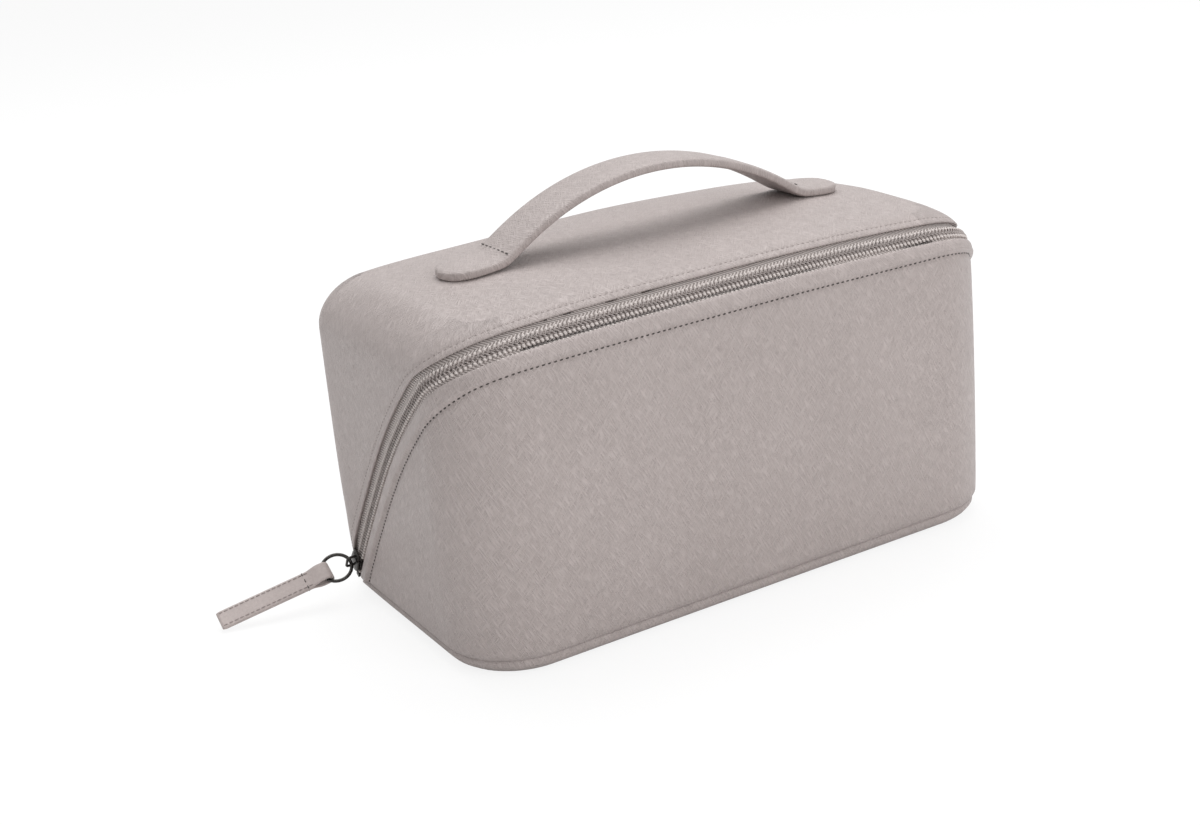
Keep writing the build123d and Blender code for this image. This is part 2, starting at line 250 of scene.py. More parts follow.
def loaf():
    """The closed bag's whole outer surface, with a flat map in metres for its grain."""
    rings = profile()
    count = len(plan_ring(0))
    outline = plan_ring(0)
    steps = np.linalg.norm(np.roll(outline, -1, 0) - outline, axis=1)
    girth = np.concatenate([[0], np.cumsum(steps)])
    body = bmesh.new()
    grain = body.loops.layers.uv.new("grain")
    grid, rise = [], [0.0]
    for number, (inset, height) in enumerate(rings):
        plan = plan_ring(inset)
        lift = crown_rise(plan[:, 0], plan[:, 1]) * (height > eaves_height - top_round)
        share = np.clip((height - eaves_height + top_round) / top_round, 0, 1)
        points = np.column_stack([plan, height + lift * share])
        grid.append([body.verts.new(point) for point in points])
        if number:
            before = rings[number - 1]
            rise.append(rise[-1] + math.hypot(inset - before[0], height - before[1]))
    for low in range(len(rings) - 1):
        flat = rings[low][1] >= eaves_height or rings[low + 1][1] <= 0
        for k in range(count):
            nxt = (k + 1) % count
            ring = (grid[low][k], grid[low][nxt], grid[low + 1][nxt], grid[low + 1][k])
            face = body.faces.new(ring)
            face.smooth = True
            spots = ((girth[k], rise[low]), (girth[k + 1], rise[low]),
                     (girth[k + 1], rise[low + 1]), (girth[k], rise[low + 1]))
            for loop, spot in zip(face.loops, spots):
                loop[grain].uv = (loop.vert.co.x, loop.vert.co.y) if flat else spot
    bmesh.ops.remove_doubles(body, verts=body.verts, dist=1e-6)
    body.normal_update()
    moved = np.array([v.co for v in body.verts])
    moved += np.array([v.normal for v in body.verts]) * soft_swell(moved)[:, None]
    for vert, place in zip(body.verts, moved):
        vert.co = place
    body.normal_update()
    return body


def unroll(body):
    """Bend space so that the zip's arc lies flat: Y becomes the way along it and Z its radius."""
    for vert in body.verts:
        y, z = vert.co.y - zip_centre.y, vert.co.z - zip_centre.z
        vert.co = (vert.co.x, math.atan2(z, y) * zip_radius, math.hypot(y, z))


def roll_back(body):
    """Undo unroll."""
    for vert in body.verts:
        angle, radius = vert.co.y / zip_radius, vert.co.z
        vert.co.y = zip_centre.y + radius * math.cos(angle)
        vert.co.z = zip_centre.z + radius * math.sin(angle)


def slice_at(body, origin, normal, clear_above=False, clear_below=False):
    """Cut the surface along a plane and drop what lies on one side."""
    everything = body.verts[:] + body.edges[:] + body.faces[:]
    bmesh.ops.bisect_plane(body, geom=everything, plane_co=origin, plane_no=normal, dist=1e-7,
                           clear_outer=clear_above, clear_inner=clear_below)


whole = loaf()


def patch(low_radius, high_radius, low_z=None, high_z=None, lines=()):
    """A piece of the outer surface between two radii and two heights, with extra edge lines."""
    body = whole.copy()
    unroll(body)
    slice_at(body, (0, 0, low_radius), (0, 0, 1), clear_below=True)
    slice_at(body, (0, 0, high_radius), (0, 0, 1), clear_above=True)
    for radius in lines:
        slice_at(body, (0, 0, radius), (0, 0, 1))
    reach = body.verts.layers.float.new("radius")
    for vert in body.verts:
        vert[reach] = vert.co.z
    roll_back(body)
    if low_z is not None:
        slice_at(body, (0, 0, low_z), (0, 0, 1), clear_below=True)
    if high_z is not None:
        slice_at(body, (0, 0, high_z), (0, 0, 1), clear_above=True)
    points = np.array([vert.co for vert in body.verts])
    set_places(body, points + settle(points))
    return body


def radii(body):
    """Each point's distance from the zip's centre in the drawn form."""
    reach = body.verts.layers.float["radius"]
    return np.array([vert[reach] for vert in body.verts])


def away_from_zip_centre(points, normals):
    """The direction along the surface in which the radius grows."""
    out = points - np.array([0, zip_centre.y, zip_centre.z])
    out[:, 0] = 0
    out -= normals * (out * normals).sum(1)[:, None]
    return out / np.linalg.norm(out, axis=1)[:, None]


def rolled_edge(points, normals, beyond, outward, roll):
    """Curl what lies beyond an edge under it, then slope down and back to the lining."""
    over = np.clip(beyond, 0, None)
    turn = np.clip(over / roll, 0, math.pi)
    rest = np.clip(over - roll * math.pi, 0, None)
    along = roll * np.sin(turn) - 0.35 * rest
    down = roll * (1 - np.cos(turn)) + rest
    return points + outward * (along - over)[:, None] - normals * down[:, None]


def bump_at(distance, width):
    return np.exp(-((distance / width) ** 2))


def arrays(body):
    return np.array([v.co for v in body.verts]), np.array([v.normal for v in body.verts])


def edge_layout(body):
    """Each point's radius, place, outward normal, and direction in which the radius grows."""
    points, normals = arrays(body)
    return radii(body), points, normals, away_from_zip_centre(points, normals)


def set_places(body, points):
    for vert, place in zip(body.verts, points):
        vert.co = place
    body.normal_update()


def in_scene(name, data):
    """A new object in the scene."""
    made = bpy.data.objects.new(name, data)
    bpy.context.scene.collection.objects.link(made)
    return made


def directions(points):
    """The unit direction of a line at each of its points."""
    along = np.gradient(points, axis=0)
    return along / np.linalg.norm(along, axis=1)[:, None]


def way_along(points):
    """How far each point lies along its line."""
    return np.concatenate([[0], np.cumsum(np.linalg.norm(np.diff(points, axis=0), axis=1))])


def finish_mesh(body, name, material, flip=False):
    """Turn mesh work into a piece of the bag."""
    if flip:
        bmesh.ops.reverse_faces(body, faces=body.faces)
    if "radius" in body.verts.layers.float:
        body.verts.layers.float.remove(body.verts.layers.float["radius"])
    mesh = bpy.data.meshes.new(name)
    body.to_mesh(mesh)
    body.free()
    mesh.materials.append(material)
    for polygon in mesh.polygons:
        polygon.use_smooth = True
    return in_scene(name, mesh)


# Materials


def new_material(name):
    material = bpy.data.materials.new(name)
    material.use_nodes = True
    tree = material.node_tree
    shader = tree.nodes["Principled BSDF"]
    return material, tree, shader


def node(tree, kind, values=None, **settings):
    """Add a shader or geometry node, set its properties and its unlinked inputs."""
    made = tree.nodes.new(kind)
    for key, value in settings.items():
        setattr(made, key, value)
    for key, value in (values or {}).items():
        made.inputs[key].default_value = value
    return made


def math_node(tree, operation, first, second=None):
    made = tree.nodes.new("ShaderNodeMath")
    made.operation = operation
    for slot, value in enumerate((first, second)):
        if value is None:
            continue
        if isinstance(value, (int, float)):
            made.inputs[slot].default_value = value
        else:
            tree.links.new(value, made.inputs[slot])
    return made.outputs[0]


def mixed_colour(tree, amount, first, second):
    mix = node(tree, "ShaderNodeMix", data_type="RGBA")
    tree.links.new(amount, mix.inputs["Factor"])
    mix.inputs["A"].default_value = (*first, 1)
    mix.inputs["B"].default_value = (*second, 1)
    return mix.outputs["Result"]


def object_place(tree):
    return node(tree, "ShaderNodeTexCoord").outputs["Object"]


def grain_place(tree):
    return node(tree, "ShaderNodeUVMap", uv_map="grain").outputs["UV"]


def noise(tree, coordinates, **values):
    texture = node(tree, "ShaderNodeTexNoise", values)
    tree.links.new(coordinates, texture.inputs["Vector"])
    return texture.outputs["Fac"]


def paint(tree, shader, amount, dark, colour):
    """Blend the surface's colour between two tones."""
    tree.links.new(mixed_colour(tree, amount, dark, colour), shader.inputs["Base Color"])


def emboss(tree, shader, height, depth, strength=1.0):
    """Give the surface its fine relief."""
    bump = node(tree, "ShaderNodeBump", {"Strength": strength, "Distance": depth})
    tree.links.new(height, bump.inputs["Height"])
    tree.links.new(bump.outputs["Normal"], shader.inputs["Normal"])


def grain_height(tree, coordinates, pitch):
    """Two crossed sets of fine, broken diagonal strokes pressed into the leather."""
    strokes = []
    for turn, seed in ((28, 3.1), (-38, 7.7)):
        mapping = node(tree, "ShaderNodeMapping", {
            "Location": (seed, seed, 0),
            "Rotation": (0, 0, math.radians(turn)),
            "Scale": (pitch, 11 * pitch, 1),
        }, vector_type="TEXTURE")
        tree.links.new(coordinates, mapping.inputs["Vector"])
        streak = noise(tree, mapping.outputs["Vector"], Scale=2.0, Detail=1.0, Distortion=0.15)
        sharp = math_node(tree, "MULTIPLY", math_node(tree, "SUBTRACT", streak, 0.4), 4.0)
        strokes.append(math_node(tree, "MAXIMUM", math_node(tree, "MINIMUM", sharp, 1.0), 0.0))
    return math_node(tree, "MAXIMUM", strokes[0], math_node(tree, "MULTIPLY", strokes[1], 0.75))


def leather(name, colour, dark, pitch, depth, roughness):
    """Smooth coated leather with a fine cross-hatch grain, a little uneven in tone, with painted shade
    darkening the grooves between the grain's strokes.
    """
    material, tree, shader = new_material(name)
    place = object_place(tree)
    height = grain_height(tree, grain_place(tree), pitch)
    cloud = noise(tree, place, Scale=22.0, Detail=4.0, Roughness=0.6)
    speck = noise(tree, place, Scale=1400.0, Detail=2.0)
    # Painted shade: the grooves between the grain's strokes are coloured darker; the cloud adds tone that
    # differs at random.
    tone = math_node(tree, "MULTIPLY", height, 0.6)
    tone = math_node(tree, "ADD", tone, math_node(tree, "MULTIPLY", cloud, 0.45))
    paint(tree, shader, tone, dark, colour)
    rough = math_node(tree, "MULTIPLY", cloud, 0.16)
    rough = math_node(tree, "ADD", rough, roughness - 0.08)
    tree.links.new(rough, shader.inputs["Roughness"])
    shader.inputs["Specular IOR Level"].default_value = 0.42
    shader.inputs["Sheen Weight"].default_value = 0.08
    shader.inputs["Sheen Roughness"].default_value = 0.5
    relief = math_node(tree, "ADD", height, math_node(tree, "MULTIPLY", speck, 0.35))
    emboss(tree, shader, relief, depth)
    return material


def plain_leather(name, colour, dark, roughness):
    """The same coating on the narrow strap, with a grain that follows the object."""
    material, tree, shader = new_material(name)
    place = object_place(tree)
    fine = noise(tree, place, Scale=900.0, Detail=3.0, Roughness=0.6)
    cloud = noise(tree, place, Scale=30.0, Detail=4.0)
    tone = math_node(tree, "MULTIPLY", math_node(tree, "MULTIPLY", fine, cloud), 2.4)
    paint(tree, shader, tone, dark, colour)
    shader.inputs["Roughness"].default_value = roughness
    shader.inputs["Specular IOR Level"].default_value = 0.42
    emboss(tree, shader, fine, 0.06 * mm)
    return material


def tape_weave(name, colour, dark):
    """Zip tape: a herringbone of fine diagonal ribs that turn back every few ribs, coloured pale on the rib
    crests and dark in the grooves as painted highlight and shade.
    """
    material, tree, shader = new_material(name)
    split = node(tree, "ShaderNodeSeparateXYZ")
    tree.links.new(grain_place(tree), split.inputs["Vector"])
    along, across = split.outputs["X"], split.outputs["Y"]
    turn_back = math_node(tree, "PINGPONG", math_node(tree, "ADD", across, rib_shift), rib_turn)
    ribs = math_node(tree, "MULTIPLY", math_node(tree, "ADD", along, turn_back), 2 * math.pi / rib_pitch)
    height = math_node(tree, "MULTIPLY", math_node(tree, "ADD", math_node(tree, "SINE", ribs), 1.0), 0.5)
    # Painted highlight and shade: pale colour on the rib crests, dark colour in the grooves.
    paint(tree, shader, height, dark, colour)
    shader.inputs["Roughness"].default_value = 0.8
    shader.inputs["Sheen Weight"].default_value = 0.25
    emboss(tree, shader, height, 0.3 * mm)
    return material


def lining_cloth(name, colour, dark):
    """Thin woven lining: a fine over-and-under weave."""
    material, tree, shader = new_material(name)
    weave = node(tree, "ShaderNodeTexChecker", {"Scale": 1200.0})
    tree.links.new(grain_place(tree), weave.inputs["Vector"])
    cloud = noise(tree, object_place(tree), Scale=40.0, Detail=4.0)
    tone = math_node(tree, "ADD", math_node(tree, "MULTIPLY", weave.outputs["Fac"], 0.3), cloud)
    paint(tree, shader, tone, dark, colour)
    shader.inputs["Roughness"].default_value = 0.65
    shader.inputs["Sheen Weight"].default_value = 0.3
    emboss(tree, shader, tone, 0.2 * mm, 0.8)
    return material


def thread(name, colour, dark, twist):
    """Twisted sewing thread, with painted shade darkening its twists."""
    material, tree, shader = new_material(name)
    wave = node(tree, "ShaderNodeTexWave", {"Scale": 0.314 / twist, "Distortion": 1.0},
                bands_direction="DIAGONAL")
    tree.links.new(object_place(tree), wave.inputs["Vector"])
    # Painted shade: the twist grooves are coloured darker.
    paint(tree, shader, wave.outputs["Fac"], dark, colour)
    shader.inputs["Roughness"].default_value = 0.7
    shader.inputs["Sheen Weight"].default_value = 0.2
    emboss(tree, shader, wave.outputs["Fac"], 0.1 * mm, 0.6)
    return material


def moulded_coil(name, colour, dark):
    """Nylon coil: smooth and slightly glossy, mottled at random, and coloured darker than the pale bends as
    painted shade for the furrow between them.
    """
    material, tree, shader = new_material(name)
    # Painted shade: the coil's turns are coloured darker than the pale bends, mottled at random between the
    # two tones.
    paint(tree, shader, noise(tree, object_place(tree), Scale=300.0, Detail=3.0), dark, colour)
    shader.inputs["Roughness"].default_value = 0.38
    return material


def gunmetal(name):
    """Dark plated metal with faint brushed wear."""
    material, tree, shader = new_material(name)
    wear = noise(tree, object_place(tree), Scale=700.0, Detail=5.0, Roughness=0.7)
    paint(tree, shader, wear, (0.045, 0.042, 0.04), (0.1, 0.095, 0.09))
    shader.inputs["Metallic"].default_value = 1.0
    rough = math_node(tree, "ADD", math_node(tree, "MULTIPLY", wear, 0.2), 0.16)
    tree.links.new(rough, shader.inputs["Roughness"])
    emboss(tree, shader, wear, 0.03 * mm, 0.3)
    return material


# mauve_dark gives both the random darker tone and the painted shade in the grain's grooves.
mauve = (0.52, 0.455, 0.44)
mauve_dark = (0.375, 0.322, 0.308)
shell_leather = leather("shell_leather", mauve, mauve_dark, 1.1 * mm, 0.24 * mm, 0.45)
strap_leather = plain_leather("strap_leather", (0.58, 0.51, 0.49), (0.43, 0.37, 0.355), 0.5)
herringbone = tape_weave("herringbone_tape", (0.74, 0.67, 0.645), (0.27, 0.23, 0.215))
# The coil's darker tones are painted shade for the furrow between the pale bend rows.
coil_nylon_painted_shade = moulded_coil("coil_nylon_painted_shade", (0.5, 0.445, 0.425), (0.3, 0.26, 0.25))
bead_thread = thread("bead_thread", (0.76, 0.7, 0.67), (0.55, 0.49, 0.47), 0.6 * mm)
dark_thread = thread("dark_thread", (0.08, 0.066, 0.06), (0.04, 0.033, 0.03), 0.5 * mm)
tonal_thread = thread("tonal_thread", (0.36, 0.31, 0.295), (0.25, 0.21, 0.2), 0.5 * mm)
lining = lining_cloth("lining_cloth", (0.36, 0.31, 0.29), (0.24, 0.2, 0.185))
metal = gunmetal("gunmetal")


# Leather shells


def line_places(body, radius, low_z):
    """Points and outward directions of the surface's line at this radius, in order along it."""
    points, normals = arrays(body)
    near = np.abs(radii(body) - radius) < 2e-6
    chosen = np.where(near & (points[:, 2] > low_z))[0]
    return points[chosen], normals[chosen]


def in_order(points, normals, spacing):
    """Sort the points of one open line by where they lie round the bag, then space them evenly."""
    around = np.where(
        points[:, 0] < -half_length * 0.75, points[:, 2] - 1,
        np.where(points[:, 0] > half_length * 0.75, 1 - points[:, 2], points[:, 0]),
    )
    start = int(np.argmin(around))
    left = list(range(len(points)))
    left.remove(start)
    order = [start]
    while left:
        here = points[order[-1]]
        nearest = left[int(np.argmin(np.linalg.norm(points[left] - here, axis=1)))]
        order.append(nearest)
        left.remove(nearest)
    points, normals = points[order], normals[order]
    reach = way_along(points)
    spots = np.linspace(0, reach[-1], int(reach[-1] / spacing))
    even = np.column_stack([np.interp(spots, reach, points[:, k]) for k in range(3)])
    turned = np.column_stack([np.interp(spots, reach, normals[:, k]) for k in range(3)])
    return even, turned / np.linalg.norm(turned, axis=1)[:, None], spots


lip_flange = lip_roll * (math.pi - 2) + flange_depth
lid_flange = lid_roll * (math.pi - 2) + flange_depth
lip_steps = (-4.5, -3.4, -2.6, -1.8, -1.0, 0, 0.8, 1.6, 2.4, 3.2, 4.0, 4.7, 5.3, 5.9, 6.5, 7.5, 8, 9, 10)
lip_lines = [lip_radius - step * mm for step in lip_steps]
lip_lines.append(lip_radius - lip_band_width)
front = patch(0, lip_radius + lip_flange, low_z=seam_height - 1.2 * mm, lines=lip_lines)
radius, points, normals, outward = edge_layout(front)
inside = np.clip(lip_radius - radius, 0, None)
pillow = lip_puff * np.sin(np.pi * np.clip((inside + 0.8 * mm) / (lip_band_width + 0.8 * mm), 0, 1)) ** 0.8
valley = -stitch_valley * bump_at(inside - lip_band_width, 0.9 * mm)
after = 0.7 * mm * bump_at(inside - lip_band_width + 1.9 * mm, 1.1 * mm)
low_edge = np.clip(seam_height + 2 * mm - points[:, 2], 0, None)
shaped = rolled_edge(points, normals, radius - lip_radius, outward, lip_roll)
shaped += normals * (pillow + valley + after - 0.9 * low_edge * (low_edge > 0))[:, None]
set_places(front, shaped)
stitch_path = in_order(*line_places(front, lip_radius - lip_band_width, seam_height + 2 * mm), 1.5 * mm)
front_leather = finish_mesh(front, "front_leather", shell_leather)

bottom = patch(0, lip_radius + lip_flange, high_z=seam_height + 0.6 * mm,
               lines=[lip_radius, lip_radius + lip_roll, lip_radius + 2 * lip_roll])
radius, points, normals, outward = edge_layout(bottom)
shaped = rolled_edge(points, normals, radius - lip_radius, outward, lip_roll)
top_edge = np.clip(points[:, 2] - seam_height + 1.6 * mm, 0, None)
shaped -= normals * (0.9 * top_edge)[:, None]
set_places(bottom, shaped)
bottom_leather = finish_mesh(bottom, "bottom_leather", shell_leather)

lid_steps = (-3, -1.6, -1.25, -0.95, -0.65, -0.3, 0, 0.7, 1.3, 1.9, 2.2, 2.6, 3.0, 3.4, 4.2, 6, 8, 11)
lid_lines = [lid_radius + step * mm for step in lid_steps]
lid = patch(lid_radius - lid_flange, 1.0, lines=lid_lines)
radius, points, normals, outward = edge_layout(lid)
inside = np.clip(radius - lid_radius, 0, None)
pillow = lid_puff * np.sin(np.pi * np.clip(inside / (12 * mm), 0, 1))
valley = -0.15 * mm * bump_at(inside - lid_stitch_inset, 0.6 * mm)
shaped = rolled_edge(points, normals, lid_radius - radius, -outward, lid_roll)
shaped += normals * (pillow + valley)[:, None]
set_places(lid, shaped)
lid_stitch_path = in_order(*line_places(lid, lid_radius + lid_stitch_inset, 16 * mm), 1.5 * mm)
lid_leather = finish_mesh(lid, "lid_leather", shell_leather)


def inner_layer(name, low_radius, high_radius, depth, material, low_z=None, high_z=None):
    """A layer that follows the outer surface at a depth below it, facing the compartment."""
    body = patch(low_radius, high_radius, low_z=low_z, high_z=high_z)
    points, normals = arrays(body)
    set_places(body, points - normals * depth)
    return finish_mesh(body, name, material, flip=True)


base_lining = inner_layer("base_lining_cloth", 0, lip_radius, flange_depth, lining)
lid_lining = inner_layer("lid_lining_cloth", lid_radius, 1.0, flange_depth, lining)

# The fold along the lower back edge bends from the base to the lid
fold = patch(lip_radius - fold_lap, lid_radius + fold_lap, high_z=8 * mm,
             lines=[lip_radius + k * 1.2 * mm for k in range(-3, 14)])
points, normals = arrays(fold)
set_places(fold, points - normals * fold_sink)
fold_leather = finish_mesh(fold, "fold_leather", shell_leather)
thicken = fold_leather.modifiers.new("thickness", "SOLIDIFY")
thicken.thickness = fold_thickness
thicken.offset = -1


# Zip


def path_object(name, points, normals):
    """A line of points that carries the surface's outward direction."""
    mesh = bpy.data.meshes.new(name)
    mesh.from_pydata(points.tolist(), [(k, k + 1) for k in range(len(points) - 1)], [])
    out = mesh.attributes.new("out", "FLOAT_VECTOR", "POINT")
    out.data.foreach_set("vector", normals.astype(np.float32).ravel())
    return in_scene(name, mesh)


def row_tree(name, make_shape):
    """A geometry tree that repeats one small shape along a line, square to it and to the surface."""
    tree = bpy.data.node_groups.new(name, "GeometryNodeTree")
    sockets = {}
    measures = ("Pitch", "Length", "Width", "Height", "Lean")
    for label, kind, way in (
        ("Line", "NodeSocketGeometry", "INPUT"),
        *((label, "NodeSocketFloat", "INPUT") for label in measures),
        ("Finish", "NodeSocketMaterial", "INPUT"),
        ("Row", "NodeSocketGeometry", "OUTPUT"),
    ):
        sockets[label] = tree.interface.new_socket(label, in_out=way, socket_type=kind).identifier
    given = node(tree, "NodeGroupInput")
    result = node(tree, "NodeGroupOutput")
    curve = node(tree, "GeometryNodeMeshToCurve")
    even = node(tree, "GeometryNodeResampleCurve", mode="LENGTH")
    out = node(tree, "GeometryNodeInputNamedAttribute", {"Name": "out"}, data_type="FLOAT_VECTOR")
    tangent = node(tree, "GeometryNodeInputTangent")
    facing = node(tree, "FunctionNodeAxesToRotation", primary_axis="Z", secondary_axis="X")
    lean = node(tree, "FunctionNodeRotateRotation", rotation_space="LOCAL")
    yaw = node(tree, "FunctionNodeAxisAngleToRotation", {"Axis": (0, 0, 1)})
    place = node(tree, "GeometryNodeInstanceOnPoints")
    real = node(tree, "GeometryNodeRealizeInstances")
    smooth = node(tree, "GeometryNodeSetShadeSmooth")
    finish = node(tree, "GeometryNodeSetMaterial")
    shape = make_shape(tree, given)
    join = tree.links.new
    join(given.outputs["Line"], curve.inputs["Mesh"])
    join(curve.outputs["Curve"], even.inputs["Curve"])
    join(given.outputs["Pitch"], even.inputs["Length"])
    join(even.outputs["Curve"], place.inputs["Points"])
    join(shape, place.inputs["Instance"])
    join(out.outputs["Attribute"], facing.inputs[0])
    join(tangent.outputs["Tangent"], facing.inputs[1])
    join(given.outputs["Lean"], yaw.inputs["Angle"])
    join(facing.outputs["Rotation"], lean.inputs["Rotation"])
    join(yaw.outputs["Rotation"], lean.inputs["Rotate By"])
    join(lean.outputs["Rotation"], place.inputs["Rotation"])
    join(place.outputs["Instances"], real.inputs["Geometry"])
    join(real.outputs["Geometry"], smooth.inputs["Geometry"])
    join(smooth.outputs["Geometry"], finish.inputs["Geometry"])
    join(given.outputs["Finish"], finish.inputs["Material"])
    join(finish.outputs["Geometry"], result.inputs["Row"])
    return tree, sockets


def scaled(tree, given, geometry, turn=(0, 0, 0)):
    """Scale a unit shape to the tree's length, width and height."""
    size = node(tree, "ShaderNodeCombineXYZ")
    for axis, label in zip("XYZ", ("Length", "Width", "Height")):
        tree.links.new(given.outputs[label], size.inputs[axis])
    change = node(tree, "GeometryNodeTransform", {"Rotation": turn})
    tree.links.new(geometry, change.inputs["Geometry"])
    tree.links.new(size.outputs["Vector"], change.inputs["Scale"])
    return change.outputs["Geometry"]


def loop_shape(tree, given):
    """One turn of the coil: a closed round wire loop that stands across the line."""
    ring = node(tree, "GeometryNodeCurvePrimitiveCircle", {"Resolution": 9, "Radius": 0.5})
    section = node(tree, "GeometryNodeCurvePrimitiveCircle", {"Resolution": 4})
    wire = node(tree, "GeometryNodeCurveToMesh")
    upright = node(tree, "GeometryNodeTransform", {"Rotation": (0, math.pi / 2, 0)})
    size = node(tree, "ShaderNodeCombineXYZ", {"X": 1.0})
    stretch = node(tree, "GeometryNodeTransform")
    join = tree.links.new
    join(given.outputs["Width"], size.inputs["Y"])
    join(given.outputs["Height"], size.inputs["Z"])
    join(ring.outputs["Curve"], upright.inputs["Geometry"])
    join(upright.outputs["Geometry"], stretch.inputs["Geometry"])
    join(size.outputs["Vector"], stretch.inputs["Scale"])
    join(given.outputs["Length"], section.inputs["Radius"])
    join(stretch.outputs["Geometry"], wire.inputs["Curve"])
    join(section.outputs["Curve"], wire.inputs["Profile Curve"])
    return wire.outputs["Mesh"]


def bead_shape(tree, given):
    """One stitch: a short rounded grain of thread."""
    ball = node(tree, "GeometryNodeMeshUVSphere", {"Segments": 8, "Rings": 6, "Radius": 0.5})
    return scaled(tree, given, ball.outputs["Mesh"])


coil_tree = row_tree("coil_row", loop_shape)
stitch_tree = row_tree("stitch_row", bead_shape)


def row(name, made_tree, line, pitch, length, width, height, finish,
        lean=0.0, lift=0.0, side=0.0, shift=0.0):
    """Run a tree along a line and keep the result as a plain mesh."""
    points, normals, spots = line
    along = directions(points)
    across = np.cross(normals, along)
    moved = points + normals * lift + across * side + along * shift
    source = path_object(name + "_line", moved, normals)
    tree, sockets = made_tree
    modifier = source.modifiers.new(name, "NODES")
    modifier.node_group = tree
    for label, value in (("Pitch", pitch), ("Length", length), ("Width", width),
                         ("Height", height), ("Lean", lean), ("Finish", finish)):
        modifier[sockets[label]] = value
    bpy.context.view_layer.update()
    evaluated = source.evaluated_get(bpy.context.evaluated_depsgraph_get())
    mesh = bpy.data.meshes.new_from_object(evaluated)
    mesh.name = name
    source.modifiers.clear()
    bpy.data.objects.remove(source)
    return in_scene(name, mesh)


ridge = patch(zip_radius - 20 * mm, zip_radius + 20 * mm, lines=[zip_radius])
zip_path = in_order(*line_places(ridge, zip_radius, zip_foot), 1.0 * mm)
ridge.free()


def tape_depth_at(radius):
    """The tape leans up a little from the lid's edge to the lip."""
    share = np.clip((radius - lip_radius) / zip_opening, 0, 1)
    return lip_tape_depth + (lid_tape_depth - lip_tape_depth) * share


def tape_strip(name, low, high):
    """A tape under one edge, mapped along and across the zip."""
    inner_lines = [low + (high - low) * k / 6 for k in range(1, 6)]
    body = patch(low, high, low_z=zip_foot - 2 * mm, lines=inner_lines)
    grain = body.loops.layers.uv.verify()
    points, normals = arrays(body)
    radius = radii(body)
    set_places(body, points - normals * tape_depth_at(radius)[:, None])
    line, reach = zip_path[0], zip_path[2]
    ahead = directions(line)
    nearest = np.array([int(np.argmin(((line - place) ** 2).sum(1))) for place in points])
    along = reach[nearest] + ((points - line[nearest]) * ahead[nearest]).sum(1)
    for face in body.faces:
        for loop in face.loops:
            number = loop.vert.index
            loop[grain].uv = (along[number], radius[number] - zip_radius)
    return finish_mesh(body, name, herringbone)


base_tape = tape_strip("base_tape", lip_radius - tape_overlap, zip_radius + coil_middle - 0.2 * mm)
lid_tape = tape_strip("lid_tape", zip_radius + coil_middle + 0.2 * mm, lid_radius + tape_overlap)


def zip_row(name, tree, pitch, size, finish, side, lean, shift=0.0):
    """A row of coil turns or thread on the tapes, at its distance from the zip's middle line."""
    lift = size[2] / 2 - thread_sink - float(tape_depth_at(np.array(zip_radius + side)))
    return row(name, tree, zip_path, pitch, *size, finish, lean=lean, lift=lift, side=side, shift=shift)


coil_size = (coil_wire, coil_width, coil_height)
base_coil = zip_row("base_coil_loops", coil_tree, coil_pitch, coil_size, coil_nylon_painted_shade,
                    coil_middle - coil_offset, 0.6)
lid_coil = zip_row("lid_coil_loops", coil_tree, coil_pitch, coil_size, coil_nylon_painted_shade,
                   coil_middle + coil_offset, -0.6, coil_pitch / 2)
base_beads = zip_row("base_coil_bends", stitch_tree, bead_pitch, bead_size, bead_thread,
                     bead_rows["base_bends"], 0.5)
lid_beads = zip_row("lid_coil_bends", stitch_tree, bead_pitch, bead_size, bead_thread,
                    bead_rows["lid_bends"], -0.5)
tape_stitches = zip_row("base_tape_stitches", stitch_tree, bead_pitch, tape_stitch_size, bead_thread,
                        bead_rows["base_tape_stitches"], -0.5)
front_stitches = row("front_stitches", stitch_tree, stitch_path, edge_stitch_pitch,
                     1.7 * mm, 1.0 * mm, 0.55 * mm, dark_thread, lean=0.12, lift=0.05 * mm)
lid_stitches = row("lid_stitches", stitch_tree, lid_stitch_path, edge_stitch_pitch,
                   1.5 * mm, 0.5 * mm, 0.4 * mm, tonal_thread)

end_tabs = inner_layer("zip_end_cloth", lip_radius, lid_radius, lid_tape_depth + 0.5 * mm, herringbone,
                       low_z=5 * mm, high_z=zip_foot)


# Handle


